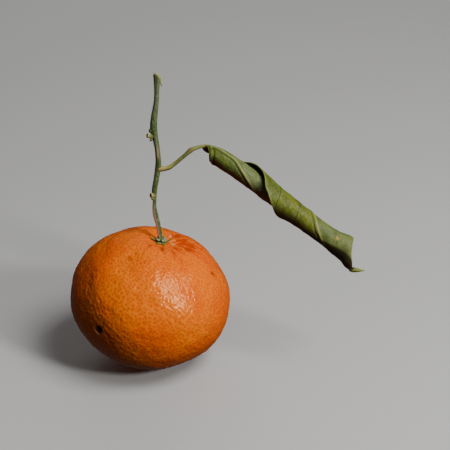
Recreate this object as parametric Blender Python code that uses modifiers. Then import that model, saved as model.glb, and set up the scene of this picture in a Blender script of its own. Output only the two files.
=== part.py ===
"""A mandarin with a short twig and one dry leaf rolled into a tube.

Metres, +Z up. The fruit lies on z = 0, on a small flat spot under its weight. Its own axis leans
to the right and a little back, and the twig leans back from the calyx with the leaf on its right.
"""

import math
import random

import bmesh
import bpy
from mathutils import Matrix, Vector, noise

MM = 0.001
GAP = 0.3 * MM

# Fruit: an oblate body, its stem end in a dimple with furrows round it.
FRUIT_RADIUS = 30.0 * MM
FRUIT_HALF_HEIGHT = 25.8 * MM
FRUIT_CENTRE_HEIGHT = 25.4 * MM
FRUIT_LEAN_RIGHT = math.radians(11)
FRUIT_LEAN_BACK = math.radians(3)
DIMPLE_DEPTH = 2.6 * MM
DIMPLE_RADIUS = 7.5 * MM
FURROWS = 12
FURROW_SCATTER = 0.28
FURROW_DEPTHS = (0.45, 1.0)
FURROW_LENGTHS = (0.7, 1.25)
FURROW_DEPTH = 0.75 * MM
FURROW_WIDTH = 0.95 * MM
FURROW_START = 3.5 * MM
FURROW_END = 13.0 * MM
LUMP_HEIGHT = 0.55 * MM
LUMPS_ACROSS = 2.3
# Soft dents in the peel: azimuth and polar angle from the stem, in degrees, then radius and depth.
DENTS = (
    (-127, 39, 4.5 * MM, 0.8 * MM),
    (-148, 72, 3.5 * MM, 0.4 * MM),
)
# One round scar, cut as a shallow hollow.
SCAR_PLACE = (math.radians(-125), math.radians(97))
SCAR_BALL = 1.6 * MM
SCAR_DEPTH = 0.9 * MM
FRUIT_SEGMENTS = 72
FRUIT_RINGS = 40
RING_CROWDING = 1.35
PEEL_TRIES = 6

# Calyx: a small disc with five pointed sepals, and a peg into the fruit.
CALYX_RADIUS = 2.3 * MM
CALYX_THICKNESS = 0.9 * MM
SEPAL_ANGLES = (18, 72, 180, -112, -58)
SEPAL_LENGTHS = (2.2 * MM, 1.5 * MM, 2.1 * MM, 1.1 * MM, 1.2 * MM)
SEPAL_HALF_ANGLE = 26
SEPAL_POINTEDNESS = 1.4
SEPAL_THINNING = 0.3
SEPAL_CURL = 1.0 * MM
SEPAL_CURL_POWER = 1.6
CALYX_EDGE_ROUNDING = 0.4
CALYX_SEGMENTS = 60
CALYX_RINGS = 14
PEG_RADIUS = 1.1 * MM
PEG_LENGTH = 2.2 * MM
SOCKET_DEPTH = 0.5 * MM
FOOT_CLEARANCE = 0.7 * MM
ROUND_SIDES = 16
BALL_RINGS = 10

# Twig: sideways place, height along the twig and radius, all from the middle of the calyx.
TWIG_LEAN_BACK = math.radians(12)
TWIG = (
    (0.0 * MM, 0.0 * MM, 1.25 * MM),
    (-0.5 * MM, 1.8 * MM, 0.80 * MM),
    (-1.2 * MM, 5.7 * MM, 0.88 * MM),
    (-2.1 * MM, 9.5 * MM, 0.92 * MM),
    (-2.4 * MM, 12.5 * MM, 0.70 * MM),
    (-2.3 * MM, 14.7 * MM, 0.66 * MM),
    (-2.3 * MM, 18.5 * MM, 0.99 * MM),
    (-1.6 * MM, 22.6 * MM, 0.98 * MM),
    (-0.8 * MM, 28.2 * MM, 1.05 * MM),
    (-0.9 * MM, 31.5 * MM, 0.94 * MM),
    (-1.2 * MM, 34.5 * MM, 0.96 * MM),
    (-2.0 * MM, 39.0 * MM, 1.22 * MM),
    (-2.3 * MM, 41.8 * MM, 1.30 * MM),
    (-1.9 * MM, 46.2 * MM, 1.15 * MM),
    (-1.4 * MM, 50.0 * MM, 1.00 * MM),
    (-1.0 * MM, 55.6 * MM, 0.98 * MM),
    (-1.1 * MM, 59.6 * MM, 1.22 * MM),
    (-1.4 * MM, 62.2 * MM, 1.32 * MM),
)
TWIG_STEP = 1.3 * MM
TWIG_CUT_SLANT = math.radians(33)
# Branch scars: height along the twig, reach from its axis, radius, hollow radius, lift, turn forward.
SCARS = (
    (38.6 * MM, 2.6 * MM, 0.80 * MM, 0.42 * MM, math.radians(25), math.radians(25)),
    (16.8 * MM, 1.4 * MM, 0.90 * MM, 0.48 * MM, math.radians(5), math.radians(40)),
)
SCAR_HOLLOW_DEPTH = 0.8 * MM

# Leaf stalk: across and up in the leaf's leaning plane, from the twig's middle, and radius.
STALK_NODE_HEIGHT = 26.5 * MM
LEAF_LEAN_BACK = math.radians(27)
STALK = (
    (0.0 * MM, 0.0 * MM, 1.15 * MM),
    (1.8 * MM, 0.0 * MM, 1.00 * MM),
    (2.9 * MM, 0.1 * MM, 0.85 * MM),
    (4.4 * MM, 0.6 * MM, 0.82 * MM),
    (5.7 * MM, 1.5 * MM, 0.74 * MM),
    (8.2 * MM, 3.5 * MM, 0.72 * MM),
    (10.4 * MM, 5.4 * MM, 0.76 * MM),
    (11.9 * MM, 6.7 * MM, 0.92 * MM),
    (12.6 * MM, 7.1 * MM, 0.88 * MM),
)
STALK_STEP = 0.7 * MM
STALK_CLEAR_REACH = 6 * MM
# The midrib's bare foot, in the same plane, from the stalk's joint to the blade.
RIB_FOOT = (
    (12.95 * MM, 7.25 * MM, 0.80 * MM),
    (14.6 * MM, 7.8 * MM, 0.68 * MM),
    (16.3 * MM, 8.2 * MM, 0.60 * MM),
)
BLADE_START = (17.1 * MM, 8.7 * MM)
RIB_JOIN = (1.0 * MM, 2.5 * MM, 4.0 * MM)
RIB_RADIUS = 0.5 * MM

# Leaf blade: rolled round an axis that points down to the right. Along is measured on that axis
# from the blade's base, and a turn is the midrib's place round the tube: 0 on top, 90 in front.
LEAF_AXIS_DROP = math.radians(37.4)
LEAF_THICKNESS = 0.6 * MM
LEAF_LENGTH = 74.5 * MM
MIDRIB_TURNS = (
    (0.0 * MM, 0),
    (5.0 * MM, 42),
    (12.0 * MM, 54),
    (15.6 * MM, 82),
    (25.9 * MM, 160),
    (44.8 * MM, 358),
    (50.2 * MM, 446),
    (53.6 * MM, 482),
    (57.3 * MM, 520),
    (64.0 * MM, 564),
    (74.5 * MM, 600),
)
# Half widths on the side that ends on the outside of the roll, and on the side that starts inside.
OUTER_HALF = (
    (0.0 * MM, 0.7 * MM),
    (1.5 * MM, 1.3 * MM),
    (3.4 * MM, 2.8 * MM),
    (5.2 * MM, 4.2 * MM),
    (10.6 * MM, 9.6 * MM),
    (17.0 * MM, 12.6 * MM),
    (24.0 * MM, 14.2 * MM),
    (30.0 * MM, 14.4 * MM),
    (41.0 * MM, 14.8 * MM),
    (50.0 * MM, 13.0 * MM),
    (56.5 * MM, 9.6 * MM),
    (62.0 * MM, 6.4 * MM),
    (68.0 * MM, 2.6 * MM),
    (74.5 * MM, 0.4 * MM),
)
INNER_HALF = (
    (0.0 * MM, 0.7 * MM),
    (2.2 * MM, 3.0 * MM),
    (10.5 * MM, 10.1 * MM),
    (20.0 * MM, 13.0 * MM),
    (41.0 * MM, 15.0 * MM),
    (56.7 * MM, 12.4 * MM),
    (62.1 * MM, 7.3 * MM),
    (68.4 * MM, 2.0 * MM),
    (74.5 * MM, 0.4 * MM),
)
TUBE_RADII = (
    (0.0 * MM, 1.9 * MM),
    (1.3 * MM, 2.2 * MM),
    (4.6 * MM, 3.0 * MM),
    (8.0 * MM, 3.3 * MM),
    (17.0 * MM, 3.4 * MM),
    (35.0 * MM, 3.6 * MM),
    (57.0 * MM, 3.7 * MM),
    (64.0 * MM, 4.2 * MM),
    (80.0 * MM, 4.4 * MM),
)
# How far the tube's axis hangs below its straight line, and how far the outer margin stands off.
AXIS_SAG = (
    (0.0 * MM, 2.5 * MM),
    (1.3 * MM, 2.2 * MM),
    (4.6 * MM, 1.1 * MM),
    (8.0 * MM, 0.7 * MM),
    (17.0 * MM, 0.1 * MM),
    (57.0 * MM, -0.1 * MM),
    (80.0 * MM, -0.5 * MM),
)
MARGIN_FLARE = (
    (14.0 * MM, 0.0 * MM),
    (24.0 * MM, 1.2 * MM),
    (30.0 * MM, 1.3 * MM),
    (36.0 * MM, 1.0 * MM),
    (42.0 * MM, 0.4 * MM),
    (50.0 * MM, 0.0 * MM),
)
FLARE_START = 0.5
TURN_RADIUS = 3.6 * MM
VEIN_ANGLE = math.radians(30)
LAYER_PITCH = 1.0 * MM
MIDRIB_RAISE = 0.35 * MM
MIDRIB_WIDTH = 1.1 * MM
MIDRIB_FULL = 5.0 * MM
MIDRIB_FADE = 0.6
LEAF_ROWS = 60
LEAF_COLUMNS = 24
MARGIN_CROWDING = 1.4

RANDOM_SEED = 7


def clear_scene():
    for obj in list(bpy.data.objects):
        bpy.data.objects.remove(obj, do_unlink=True)


def new_collection(name):
    collection = bpy.data.collections.new(name)
    bpy.context.scene.collection.children.link(collection)
    return collection


def new_material(name, colour, roughness):
    material = bpy.data.materials.new(name)
    material.use_nodes = True
    shader = material.node_tree.nodes["Principled BSDF"]
    shader.inputs["Base Color"].default_value = (*colour, 1)
    shader.inputs["Roughness"].default_value = roughness
    shader.inputs["Metallic"].default_value = 0
    material.diffuse_color = (*colour, 1)
    return material


def object_from(bm, name, collection):
    mesh = bpy.data.meshes.new(name)
    bm.to_mesh(mesh)
    bm.free()
    mesh.shade_smooth()
    obj = bpy.data.objects.new(name, mesh)
    collection.objects.link(obj)
    return obj


def add_cutter(obj, cutters):
    for collection in list(obj.users_collection):
        collection.objects.unlink(obj)
    cutters.objects.link(obj)
    obj.hide_render = True
    obj.display_type = "WIRE"
    return obj


def boolean(obj, other, operation):
    """Operation is UNION or DIFFERENCE."""
    modifier = obj.modifiers.new(other.name, "BOOLEAN")
    modifier.object = other
    modifier.operation = operation
    modifier.solver = "EXACT"


def smooth_value(points, at):
    """The value at a place on a smooth line through (place, value) points, level past its ends."""
    if at <= points[0][0]:
        return points[0][1]
    if at >= points[-1][0]:
        return points[-1][1]
    after = next(i for i, point in enumerate(points) if point[0] > at)
    slopes = []
    for i in (after - 1, after):
        low = points[max(i - 1, 0)]
        high = points[min(i + 1, len(points) - 1)]
        slopes.append((high[1] - low[1]) / (high[0] - low[0]))
    (x0, y0), (x1, y1) = points[after - 1], points[after]
    span = x1 - x0
    t = (at - x0) / span
    hermite = (2 * t**3 - 3 * t**2 + 1) * y0 + (t**3 - 2 * t**2 + t) * span * slopes[0]
    return hermite + (3 * t**2 - 2 * t**3) * y1 + (t**3 - t**2) * span * slopes[1]


def smooth_route(stations, step):
    """(across, up, radius) on a smooth line through the stations, about a step apart."""
    lengths = [0.0]
    for low, high in zip(stations, stations[1:]):
        lengths.append(lengths[-1] + math.dist(low[:2], high[:2]))
    count = round(lengths[-1] / step)
    route = []
    for i in range(count + 1):
        at = lengths[-1] * i / count
        route.append([smooth_value([(s, p[k]) for s, p in zip(lengths, stations)], at) for k in range(3)])
    return route


def direction(azimuth, polar):
    flat = math.sin(polar)
    return Vector((flat * math.cos(azimuth), flat * math.sin(azimuth), math.cos(polar)))


def fruit_frame():
    """The fruit's own frame: z up its stem axis, x to the right."""
    z = Vector((math.tan(FRUIT_LEAN_RIGHT), math.tan(FRUIT_LEAN_BACK), 1)).normalized()
    x = Vector((0, 1, 0)).cross(z).normalized()
    turn = Matrix((x, z.cross(x), z)).transposed().to_4x4()
    return Matrix.Translation((0, 0, FRUIT_CENTRE_HEIGHT)) @ turn


def furrow_plan():
    """(azimuth, depth factor, length factor) of each furrow, deepest on the right."""
    draw = random.Random(RANDOM_SEED)
    plan = []
    for i in range(FURROWS):
        azimuth = math.tau * (i + draw.uniform(-FURROW_SCATTER, FURROW_SCATTER)) / FURROWS
        depth = draw.uniform(*FURROW_DEPTHS) * (0.75 + 0.45 * math.cos(azimuth))
        plan.append((azimuth, depth, draw.uniform(*FURROW_LENGTHS)))
    return plan


def angle_between(a, b):
    return (a - b + math.pi) % math.tau - math.pi


def fruit_radius(azimuth, polar, furrows):
    """Distance from the fruit's centre to its peel."""
    across = math.sin(polar)
    along = math.cos(polar)
    radius = 1 / math.hypot(across / FRUIT_RADIUS, along / FRUIT_HALF_HEIGHT)
    away = radius * across
    ray = direction(azimuth, polar)
    radius += LUMP_HEIGHT * noise.noise(ray * LUMPS_ACROSS) * min(1, away / DIMPLE_RADIUS)
    if along > 0:
        radius -= DIMPLE_DEPTH * math.exp(-((away / DIMPLE_RADIUS) ** 2))
        for middle, depth, length in furrows:
            aside = angle_between(azimuth, middle) * away / FURROW_WIDTH
            start = 1 - math.exp(-((away / FURROW_START) ** 4))
            end = math.exp(-((away / (FURROW_END * length)) ** 3))
            radius -= FURROW_DEPTH * depth * start * end * math.exp(-(aside**2))
    for azimuth_deg, polar_deg, width, depth in DENTS:
        middle = direction(math.radians(azimuth_deg), math.radians(polar_deg))
        radius -= depth * math.exp(-((ray.angle(middle, 0) * radius / width) ** 2))
    return radius


def peel_height(away, azimuth, furrows):
    """Height of the peel in the fruit's frame, at a distance from the stem axis."""
    height = FRUIT_HALF_HEIGHT - DIMPLE_DEPTH
    for _ in range(PEEL_TRIES):
        polar = math.atan2(away, height)
        height = fruit_radius(azimuth, polar, furrows) * math.cos(polar)
    return height


def build_fruit(furrows, collection, cutters):
    bm = bmesh.new()
    bmesh.ops.create_uvsphere(bm, u_segments=FRUIT_SEGMENTS, v_segments=FRUIT_RINGS, radius=1)
    frame = fruit_frame()
    back = frame.inverted()
    for vert in bm.verts:
        azimuth = math.atan2(vert.co.y, vert.co.x)
        polar = math.pi * (vert.co.angle(Vector((0, 0, 1)), 0) / math.pi) ** RING_CROWDING
        place = frame @ (direction(azimuth, polar) * fruit_radius(azimuth, polar, furrows))
        place.z = max(place.z, 0)
        vert.co = back @ place
    fruit = object_from(bm, "fruit", collection)
    fruit.matrix_world = frame
    fruit.data.materials.append(new_material("peel", (0.92, 0.32, 0.01), 0.42))
    hole = bmesh.new()
    bmesh.ops.create_cone(
        hole, cap_ends=True, segments=ROUND_SIDES, radius1=PEG_RADIUS + GAP, radius2=PEG_RADIUS + GAP,
        depth=2 * (PEG_LENGTH + GAP), matrix=Matrix.Translation((0, 0, peel_height(0, 0, furrows))),
    )
    cutter = add_cutter(object_from(hole, "peg_hole", cutters), cutters)
    cutter.matrix_world = frame
    boolean(fruit, cutter, "DIFFERENCE")
    ball = bmesh.new()
    reach = fruit_radius(*SCAR_PLACE, furrows) + SCAR_BALL - SCAR_DEPTH
    place = Matrix.Translation(direction(*SCAR_PLACE) * reach)
    bmesh.ops.create_uvsphere(
        ball, u_segments=ROUND_SIDES, v_segments=BALL_RINGS, radius=SCAR_BALL, matrix=place
    )
    hollow = add_cutter(object_from(ball, "peel_scar", cutters), cutters)
    hollow.matrix_world = frame
    boolean(fruit, hollow, "DIFFERENCE")


def sepal_reach(azimuth):
    """How far a sepal reaches past the disc, and the share of its full length."""
    reach = 0.0
    share = 0.0
    for middle, length in zip(SEPAL_ANGLES, SEPAL_LENGTHS):
        aside = abs(math.degrees(angle_between(azimuth, math.radians(middle))))
        part = max(0.0, 1 - aside / SEPAL_HALF_ANGLE) ** SEPAL_POINTEDNESS
        reach += length * part
        share += part
    return reach, share


def build_calyx(furrows, collection, cutters):
    bm = bmesh.new()
    bmesh.ops.create_uvsphere(bm, u_segments=CALYX_SEGMENTS, v_segments=CALYX_RINGS, radius=1)
    for vert in bm.verts:
        azimuth = math.atan2(vert.co.y, vert.co.x)
        reach, share = sepal_reach(azimuth)
        away = math.hypot(vert.co.x, vert.co.y) * (CALYX_RADIUS + reach)
        past = max(0.0, away - CALYX_RADIUS) / max(reach, MM)
        thickness = CALYX_THICKNESS * (1 - SEPAL_THINNING * past)
        side = math.copysign(abs(vert.co.z) ** CALYX_EDGE_ROUNDING, vert.co.z)
        lift = GAP + SEPAL_CURL * past**SEPAL_CURL_POWER + thickness * (1 + side) / 2
        height = peel_height(away, azimuth, furrows) + lift
        vert.co = (away * math.cos(azimuth), away * math.sin(azimuth), height)
    calyx = object_from(bm, "calyx", collection)
    calyx.matrix_world = fruit_frame()
    calyx.data.materials.append(new_material("calyx_green", (0.22, 0.27, 0.12), 0.6))
    floor = peel_height(0, 0, furrows) + GAP
    peg = bmesh.new()
    bmesh.ops.create_cone(
        peg, cap_ends=True, segments=ROUND_SIDES, radius1=PEG_RADIUS, radius2=PEG_RADIUS,
        depth=PEG_LENGTH + CALYX_THICKNESS / 2,
        matrix=Matrix.Translation((0, 0, floor + (CALYX_THICKNESS / 2 - PEG_LENGTH) / 2 - GAP / 2)),
    )
    stud = add_cutter(object_from(peg, "calyx_peg", cutters), cutters)
    stud.matrix_world = fruit_frame()
    boolean(calyx, stud, "UNION")
    hollow = bmesh.new()
    wide = TWIG[0][2] + GAP
    bmesh.ops.create_cone(
        hollow, cap_ends=True, segments=ROUND_SIDES, radius1=wide, radius2=wide, depth=2 * SOCKET_DEPTH,
        matrix=Matrix.Translation((0, 0, floor + CALYX_THICKNESS)),
    )
    socket = add_cutter(object_from(hollow, "twig_socket", cutters), cutters)
    socket.matrix_world = fruit_frame()
    boolean(calyx, socket, "DIFFERENCE")


def twig_base(furrows):
    """World place of the twig's foot, just clear of the socket's floor in the calyx."""
    rise = GAP + CALYX_THICKNESS - SOCKET_DEPTH + FOOT_CLEARANCE
    return fruit_frame() @ Vector((0, 0, peel_height(0, 0, furrows) + rise))


def leaning_frame(base, lean_back):
    """A frame at the base whose x runs right and whose y runs up a plane that leans back."""
    up = Vector((0, math.sin(lean_back), math.cos(lean_back)))
    right = Vector((1, 0, 0))
    turn = Matrix((right, up, right.cross(up))).transposed().to_4x4()
    return Matrix.Translation(base) @ turn


def in_frame(frame, route):
    """World points and radii of (across, up, radius) stations in a leaning frame."""
    return [(frame @ Vector((across, up, 0)), radius) for across, up, radius in route]


def tube_from(name, stations, collection):
    """A round tube through (point, radius) stations, made a mesh with its caps welded."""
    curve = bpy.data.curves.new(name, "CURVE")
    curve.dimensions = "3D"
    curve.bevel_depth = MM
    curve.bevel_resolution = 3
    curve.use_fill_caps = True
    spline = curve.splines.new("POLY")
    spline.points.add(len(stations) - 1)
    for point, (place, radius) in zip(spline.points, stations):
        point.co = (*place, 1)
        point.radius = radius / MM
    holder = bpy.data.objects.new(name + "_route", curve)
    collection.objects.link(holder)
    bpy.context.view_layer.update()
    mesh = bpy.data.meshes.new_from_object(holder)
    bpy.data.objects.remove(holder, do_unlink=True)
    bm = bmesh.new()
    bm.from_mesh(mesh)
    bmesh.ops.remove_doubles(bm, verts=bm.verts, dist=0.001 * MM)
    bmesh.ops.recalc_face_normals(bm, faces=bm.faces)
    return bm


def cylinder_along(start, end, radius, name, cutters):
    """A plain cylinder from start to end, in the cutters' collection."""
    bm = bmesh.new()
    axis = end - start
    turn = axis.to_track_quat("Z", "Y").to_matrix().to_4x4()
    bmesh.ops.create_cone(
        bm, cap_ends=True, segments=ROUND_SIDES, radius1=radius, radius2=radius, depth=axis.length,
        matrix=Matrix.Translation((start + end) / 2) @ turn,
    )
    return add_cutter(object_from(bm, name, cutters), cutters)


def build_twig(furrows, collection, cutters):
    frame = leaning_frame(twig_base(furrows), TWIG_LEAN_BACK)
    bm = tube_from("twig", in_frame(frame, smooth_route(TWIG, TWIG_STEP)), collection)
    top = frame @ Vector((TWIG[-1][0], TWIG[-1][1] - TWIG[-1][2] * math.tan(TWIG_CUT_SLANT), 0))
    slope = frame.to_3x3() @ Vector((math.sin(TWIG_CUT_SLANT), math.cos(TWIG_CUT_SLANT), 0))
    everything = list(bm.verts) + list(bm.edges) + list(bm.faces)
    bmesh.ops.bisect_plane(bm, geom=everything, plane_co=top, plane_no=slope, clear_outer=True)
    open_edges = [edge for edge in bm.edges if edge.is_boundary]
    bmesh.ops.holes_fill(bm, edges=open_edges, sides=0)
    twig = object_from(bm, "twig", collection)
    twig.data.materials.append(new_material("green_bark", (0.20, 0.26, 0.08), 0.6))
    hollows = []
    for number, (height, reach, radius, hollow, lift, forward) in enumerate(SCARS):
        across = smooth_value([(up, x) for x, up, _ in TWIG], height)
        middle = frame @ Vector((across, height, 0))
        level = math.cos(lift)
        aim = Vector((-level * math.cos(forward), math.sin(lift), level * math.sin(forward)))
        out = frame.to_3x3() @ aim
        end = middle + out * reach
        stub = cylinder_along(middle, end, radius, f"scar_stub_{number}", cutters)
        boolean(twig, stub, "UNION")
        bottom = end - out * SCAR_HOLLOW_DEPTH
        hollows.append(cylinder_along(bottom, end + out * MM, hollow, f"scar_hollow_{number}", cutters))
    for hollow in hollows:
        boolean(twig, hollow, "DIFFERENCE")


def stalk_frame(base):
    """The leaf's leaning plane, from the point inside the twig that the stalk grows from."""
    across = smooth_value([(up, x) for x, up, _ in TWIG], STALK_NODE_HEIGHT)
    node = leaning_frame(base, TWIG_LEAN_BACK) @ Vector((across, STALK_NODE_HEIGHT, 0))
    return leaning_frame(node, LEAF_LEAN_BACK)


def build_stalk(furrows, collection, cutters):
    """The stalk starts inside the twig and is trimmed clear of it."""
    base = twig_base(furrows)
    stations = in_frame(stalk_frame(base), smooth_route(STALK, STALK_STEP))
    stalk = object_from(tube_from("leaf_stalk", stations, collection), "leaf_stalk", collection)
    stalk.data.materials.append(new_material("stalk_green", (0.36, 0.33, 0.10), 0.55))
    route = smooth_route(TWIG, TWIG_STEP)
    near = [row for row in route if abs(row[1] - STALK_NODE_HEIGHT) < STALK_CLEAR_REACH]
    stretch = [(place, radius + GAP) for place, radius in in_frame(leaning_frame(base, TWIG_LEAN_BACK), near)]
    clear = object_from(tube_from("twig_clearance", stretch, cutters), "twig_clearance", cutters)
    boolean(stalk, add_cutter(clear, cutters), "DIFFERENCE")


def leaf_point(along, side):
    """A point of the blade's outer face in the roll's frame, at a signed distance from the midrib."""
    across = side * math.cos(VEIN_ANGLE)
    place = along - side * math.sin(VEIN_ANGLE)
    turn = math.radians(smooth_value(MIDRIB_TURNS, along)) + across / TURN_RADIUS
    midrib_turn = math.radians(smooth_value(MIDRIB_TURNS, place))
    radius = smooth_value(TUBE_RADII, place)
    radius += LAYER_PITCH * (turn - midrib_turn) / math.tau
    raised = MIDRIB_RAISE * min(1, along / MIDRIB_FULL) * (1 - MIDRIB_FADE * along / LEAF_LENGTH)
    radius += raised * math.exp(-((side / MIDRIB_WIDTH) ** 2))
    share = side / smooth_value(OUTER_HALF, along)
    if share > FLARE_START:
        lift = (share - FLARE_START) / (1 - FLARE_START)
        radius += smooth_value(MARGIN_FLARE, along) * lift**2
    sag = smooth_value(AXIS_SAG, place)
    return Vector((place, radius * math.cos(turn) - sag, radius * math.sin(turn)))


def leaf_frame(stalk):
    """x down the roll's axis, y to the top of the tube, z to its front, from the blade's start."""
    start = stalk @ Vector((*BLADE_START, 0))
    along = stalk.to_3x3() @ Vector((math.cos(LEAF_AXIS_DROP), -math.sin(LEAF_AXIS_DROP), 0))
    front = stalk.to_3x3() @ Vector((0, 0, 1))
    turn = Matrix((along, front.cross(along), front)).transposed().to_4x4()
    return Matrix.Translation(start) @ turn @ Matrix.Translation(-leaf_point(0, 0))


def build_blade(furrows, collection, cutters):
    stalk = stalk_frame(twig_base(furrows))
    frame = leaf_frame(stalk)
    bm = bmesh.new()
    bmesh.ops.create_grid(bm, x_segments=LEAF_ROWS, y_segments=LEAF_COLUMNS, size=1)
    for vert in bm.verts:
        along = LEAF_LENGTH * (vert.co.x + 1) / 2
        half = OUTER_HALF if vert.co.y > 0 else INNER_HALF
        share = math.copysign(abs(vert.co.y) ** MARGIN_CROWDING, vert.co.y)
        vert.co = frame @ leaf_point(along, share * smooth_value(half, along))
    bmesh.ops.triangulate(bm, faces=bm.faces)
    blade = object_from(bm, "leaf_blade", collection)
    blade.data.materials.append(new_material("leaf_underside", (0.30, 0.34, 0.17), 0.65))
    solid = blade.modifiers.new("thickness", "SOLIDIFY")
    solid.thickness = LEAF_THICKNESS
    solid.offset = 1
    solid.use_even_offset = False
    foot = in_frame(stalk, smooth_route(RIB_FOOT, STALK_STEP))
    inward = Vector((0, -LEAF_THICKNESS / 2, 0))
    foot += [(frame @ (leaf_point(along, 0) + inward), RIB_RADIUS) for along in RIB_JOIN]
    rib = object_from(tube_from("rib_foot", foot, cutters), "rib_foot", cutters)
    boolean(blade, add_cutter(rib, cutters), "UNION")


def main():
    clear_scene()
    model = new_collection("mandarin")
    cutters = new_collection("cutters")
    cutters.hide_render = True
    furrows = furrow_plan()
    build_fruit(furrows, model, cutters)
    build_calyx(furrows, model, cutters)
    build_twig(furrows, model, cutters)
    build_stalk(furrows, model, cutters)
    build_blade(furrows, model, cutters)


main()
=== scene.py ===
import math
import random

import bpy
from mathutils import Matrix, Vector, kdtree, noise


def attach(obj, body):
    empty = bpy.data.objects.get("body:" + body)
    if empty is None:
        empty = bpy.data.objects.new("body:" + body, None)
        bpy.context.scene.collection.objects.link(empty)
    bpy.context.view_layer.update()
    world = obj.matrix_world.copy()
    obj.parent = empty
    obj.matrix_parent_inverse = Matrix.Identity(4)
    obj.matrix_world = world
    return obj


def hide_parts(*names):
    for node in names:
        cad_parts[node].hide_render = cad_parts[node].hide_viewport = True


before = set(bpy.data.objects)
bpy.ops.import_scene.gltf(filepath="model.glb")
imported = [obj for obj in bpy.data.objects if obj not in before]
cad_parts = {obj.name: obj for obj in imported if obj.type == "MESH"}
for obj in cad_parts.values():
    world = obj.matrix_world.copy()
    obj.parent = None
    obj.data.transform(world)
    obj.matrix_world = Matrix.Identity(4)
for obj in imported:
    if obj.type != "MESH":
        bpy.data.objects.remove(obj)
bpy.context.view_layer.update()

# The fruit: grown as one piece. Its waxy peel is full of oil glands, which show as small pits, and
# its stem end sinks into a dimple with furrows and wrinkles round it. It lies on the flat spot that
# its own weight presses into the peel.
MM = 0.001
FRUIT_RADIUS = 30.0 * MM
FRUIT_HALF_HEIGHT = 25.8 * MM
FRUIT_CENTRE_HEIGHT = 25.4 * MM
FRUIT_LEAN_RIGHT = math.radians(11)
FRUIT_LEAN_BACK = math.radians(3)
PEEL_CUTS = (8, 13)
DIMPLE_DEPTH = 2.6 * MM
DIMPLE_RADIUS = 7.5 * MM
FURROWS = 12
FURROW_SEED = 7
FURROW_SCATTER = 0.28
FURROW_DEPTHS = (0.45, 1.0)
FURROW_LENGTHS = (0.7, 1.25)
FURROW_DEPTH = 0.75 * MM
FURROW_WIDTH = 0.95 * MM
FURROW_START = 3.5 * MM
FURROW_END = 13.0 * MM
LUMP_HEIGHT = 0.55 * MM
LUMPS_ACROSS = 2.3
SMALL_LUMPS = ((7.0, 0.18 * MM), (14.0, 0.10 * MM), (27.0, 0.05 * MM))
# Soft dents: azimuth and polar angle from the stem in degrees, radius and depth in millimetres.
DENTS = ((-127, 39, 4.5, 0.8), (-148, 72, 3.5, 0.4))
WRINKLES = 90
WRINKLE_SEED = 21
WRINKLE_SIDE = (-0.15, 1.15)
WRINKLE_DEPTHS = (0.08 * MM, 0.30 * MM)
WRINKLE_WIDTHS = (0.28 * MM, 0.55 * MM)
WRINKLE_STARTS = (3.5 * MM, 10.0 * MM)
WRINKLE_LENGTHS = (3.0 * MM, 9.0 * MM)
WRINKLE_DRIFT = 0.35
WRINKLE_LIMIT = 20.0 * MM
# Longer creases: azimuth in degrees, depth, width, start and length in millimetres, sideways drift.
CREASES = (
    (57, 0.42, 0.50, 7.5, 6.5, 0.1), (-8, 0.36, 0.55, 5.0, 13.0, 0.20), (6, 0.36, 0.60, 6.0, 14.0, -0.15),
    (-30, 0.20, 0.50, 5.0, 5.0, 0.3), (-86, 0.38, 0.60, 3.5, 6.0, 0.0), (-128, 0.34, 0.60, 4.0, 6.0, -0.2),
    (175, 0.30, 0.60, 4.0, 8.0, 0.2),
)
# Fine ripples left of the dimple: azimuth, spread, distance from the stem, reach, pitch, depth.
RIPPLES = (math.radians(132), 0.42, 9.0 * MM, 3.6 * MM, 1.25 * MM, 0.14 * MM)
GLANDS = 6400
GLAND_SEED = 5
GLAND_DEPTH_SEED = 11
GLAND_SCATTER = 0.016
GLAND_RADIUS = 0.43 * MM
GLAND_DEPTHS = (0.08 * MM, 0.21 * MM)
# The round scar low on the left: a dark pit whose torn skin stands up pale on its lower left side.
SCAR_PLACE = (math.radians(-126.0), math.radians(98.3))
SCAR_LIP_PLACE = (math.radians(-130.0), math.radians(106.0))
SCAR_RADIUS = 1.65 * MM
SCAR_DEPTH = 1.45 * MM
SCAR_WAVES = (0.18, 40)
SCAR_RIM_RADIUS = 1.85 * MM
SCAR_RIM_WIDTH = 0.36 * MM
SCAR_RIM_HEIGHT = 0.30 * MM
SCAR_RIM_LEAST = 0.12
SCAR_RIM_FADE = 0.7
# Marks: azimuth and polar angle in degrees, half length and half width in millimetres, turn in
# degrees, kind, share.
MARKS = (
    (-20, 50.7, 0.75, 0.50, 20, "brown", 0.8), (-19, 51.5, 1.7, 1.0, 60, "red", 0.7),
    (-129, 38, 1.9, 0.7, 30, "red", 0.8), (-130, 40, 1.0, 0.3, 30, "brown", 0.35),
    (-97, 87, 0.5, 0.4, 0, "red", 0.9), (-3, 11.2, 1.15, 0.42, 90, "pale", 1.0),
    (60, 16, 0.85, 0.45, 30, "pale", 0.6), (58, 18, 1.5, 0.8, 30, "red", 0.9),
    (-31, 14.5, 1.9, 0.6, 60, "red", 0.8), (-12, 17, 2.4, 0.5, 80, "red", 0.7),
    (-86, 16, 1.1, 0.8, 90, "red", 0.9), (-125, 17, 1.7, 0.6, 30, "red", 0.8),
    (-14, 41, 1.6, 0.35, 80, "red", 0.7), (4, 57, 3.4, 0.45, 80, "red", 0.9),
    (-6, 62, 1.8, 0.35, 85, "red", 0.8), (-149, 24, 0.34, 0.22, 0, "pale", 0.5),
    (-127, 30, 0.28, 0.20, 0, "pale", 0.4), (150, 60, 0.7, 0.5, 10, "brown", 0.5),
    (75, 80, 1.2, 0.5, 40, "brown", 0.35), (110, 45, 1.6, 0.4, 70, "red", 0.7),
    (0, 180, 1.3, 1.2, 0, "brown", 1.0),
)
MARK_WAVES = (0.35, 60)
PEEL_LIGHT = (1.0, 0.225, 0.000, 1)
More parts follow.
